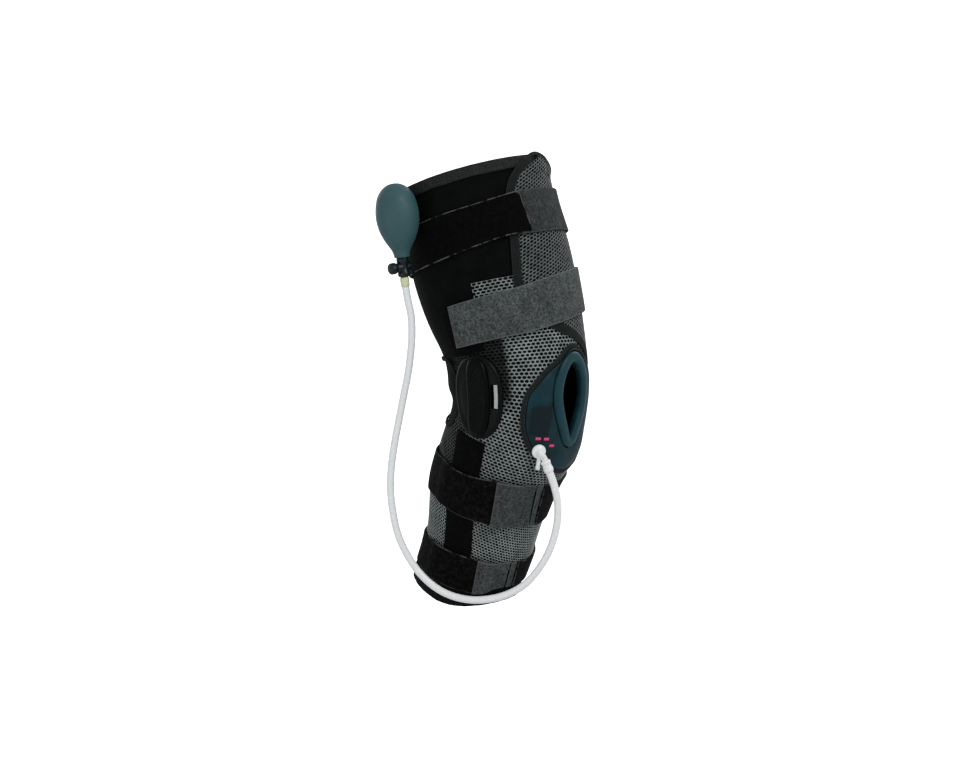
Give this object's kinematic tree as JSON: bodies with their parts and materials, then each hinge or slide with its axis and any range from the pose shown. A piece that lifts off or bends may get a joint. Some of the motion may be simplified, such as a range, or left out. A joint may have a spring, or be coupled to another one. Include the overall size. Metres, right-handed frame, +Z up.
{
  "type": "knee brace",
  "caption": "Hinged cryotherapy knee brace: mesh wrap with thigh and calf straps, a cold pad round the kneecap opening, side hinges, and an air tube to a hand pump bulb",
  "frame": {"origin": "centre of the knee, on the line between the two hinges", "axes": "+X out of the front of the knee, -Y to the outer side of the leg, +Z up along the standing leg"},
  "size_m": [0.1827, 0.1756, 0.3992],
  "materials": {
    "black_cloth": "matt",
    "mesh_cloth": "matt mesh",
    "grey_felt": "felted",
    "binding_tape": "woven tape",
    "pad_vinyl": "soft sheen",
    "ring_vinyl": "soft sheen",
    "hinge_plastic": "satin",
    "spine_plastic": "ribbed",
    "steel": "brushed",
    "clear_plastic": "translucent",
    "pale_plastic": "smooth",
    "bulb_rubber": "smooth",
    "valve_plastic": "gloss"
  },
  "bodies": {
    "brace": {"air_tube": "clear_plastic", "back_binding": "black_cloth", "bottom_hem": "black_cloth", "calf_sleeve": "mesh_cloth", "front_panel_binding": "binding_tape", "hinge_cover_inner": "hinge_plastic", "hinge_cover_outer": "hinge_plastic", "hinge_spine_inner": "spine_plastic", "hinge_spine_outer": "spine_plastic", "hinge_stop_inner": "steel", "hinge_stop_outer": "steel", "knee_pad": "pad_vinyl", "knee_sleeve": "mesh_cloth", "lower_calf_loop": "grey_felt", "lower_calf_strap": "black_cloth", "lower_calf_tab": "grey_felt", "lower_pocket_inner": "black_cloth", "lower_pocket_outer": "black_cloth", "pad_binding": "binding_tape", "pad_ring": "ring_vinyl", "port_elbow": "clear_plastic", "pump_bulb": "bulb_rubber", "thigh_front_panel": "mesh_cloth", "thigh_sleeve": "black_cloth", "top_hem": "binding_tape", "tube_coupler": "clear_plastic", "tube_ferrule": "pale_plastic", "upper_calf_loop": "grey_felt", "upper_calf_strap": "black_cloth", "upper_calf_tab": "grey_felt", "upper_pocket_inner": "black_cloth", "upper_pocket_outer": "black_cloth", "upper_thigh_strap": "black_cloth", "upper_thigh_tab": "grey_felt", "valve_body": "valve_plastic", "wide_thigh_strap": "grey_felt"},
    "release_knob": {"valve_knob": "valve_plastic"}
  },
  "joints": [
    {"name": "release_knob_turn", "type": "hinge", "parent": "brace", "child": "release_knob", "pos_m": [-0.0678, -0.089, 0.10838], "axis": [-0.2914, -0.9527, -0.0861], "range_deg": [0, 360]}
  ]
}
